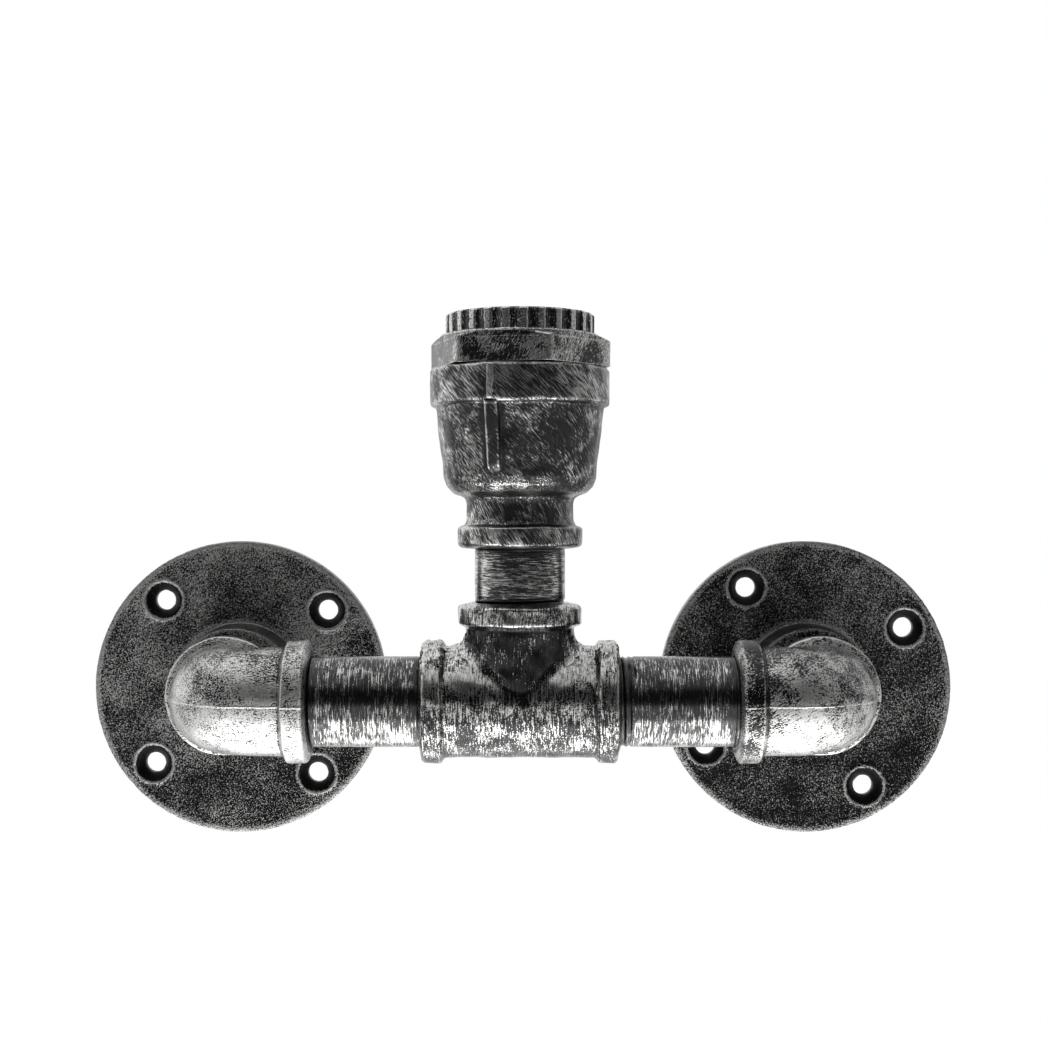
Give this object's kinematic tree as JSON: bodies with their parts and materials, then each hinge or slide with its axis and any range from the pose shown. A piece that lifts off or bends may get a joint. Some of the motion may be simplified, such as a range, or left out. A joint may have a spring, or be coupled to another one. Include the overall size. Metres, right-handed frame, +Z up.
{
  "type": "industrial pipe wall light",
  "caption": "Wall light built from blackened pipe fittings: wall flanges, elbows and a level pipe run carry an upright lampholder cup made of a tee, riser, bell reducer and hexagon bushing.",
  "frame": {"origin": "on the wall plane, midway between the two flange axes, level with the axis of the horizontal pipe run", "axes": "+X to the right along the pipe run, +Y into the wall, +Z up; the light stands out from the wall towards -Y"},
  "size_m": [0.2764, 0.0762, 0.1611],
  "materials": {
    "cast_fittings": "blackened casting with brushed silver wear on its edges and high spots",
    "cast_flanges": "blackened casting with a fine grey grain and worn rims",
    "steel_pipe": "blackened steel pipe brushed round its girth",
    "shade_ring_metal": "blackened metal with worn lands",
    "holder_metal": "plain zinc-plated steel",
    "ceramic": "white glazed porcelain",
    "brass": "bright brass",
    "fastener_steel": "plated steel",
    "bush_plastic": "black moulded plastic"
  },
  "bodies": {
    "wall_frame": {"left_flange": "cast_flanges", "right_flange": "cast_flanges", "left_wall_nipple": "steel_pipe", "right_wall_nipple": "steel_pipe", "left_elbow": "cast_fittings", "right_elbow": "cast_fittings", "left_arm_pipe": "steel_pipe", "right_arm_pipe": "steel_pipe"},
    "lamp_head": {"tee": "cast_fittings", "riser_pipe": "steel_pipe", "bell_reducer": "cast_fittings", "hex_bushing": "cast_fittings", "holder_skirt": "holder_metal", "holder_insert": "ceramic", "screw_shell": "brass", "contact_spring": "fastener_steel", "live_strip": "brass", "live_terminal": "brass", "neutral_terminal": "brass", "terminal_screws": "fastener_steel", "holder_cap": "holder_metal", "cap_screws": "fastener_steel", "cap_bush": "bush_plastic", "earth_lug": "brass", "earth_screw": "fastener_steel", "earth_nut": "fastener_steel"},
    "shade_ring": {"shade_ring": "shade_ring_metal"},
    "centre_contact": {"contact_plunger": "brass", "contact_clip": "fastener_steel"}
  },
  "joints": [
    {"name": "head_tilt", "type": "hinge", "parent": "wall_frame", "child": "lamp_head", "pos_m": [-0.0009, -0.0497, 0], "axis": [1, 0, 0], "range_deg": [-11, 191]},
    {"name": "ring_turn", "type": "hinge", "parent": "lamp_head", "child": "shade_ring", "pos_m": [-0.0009, -0.0497, 0.107], "axis": [0, 0, 1], "range_deg": [0, 1080]},
    {"name": "contact_press", "type": "slide", "parent": "lamp_head", "child": "centre_contact", "axis": [0, 0, -1], "range_m": [0, 0.002], "stiffness_N_per_m": 1500, "springref_m": -0.0008, "deforming": ["contact_spring"]}
  ]
}
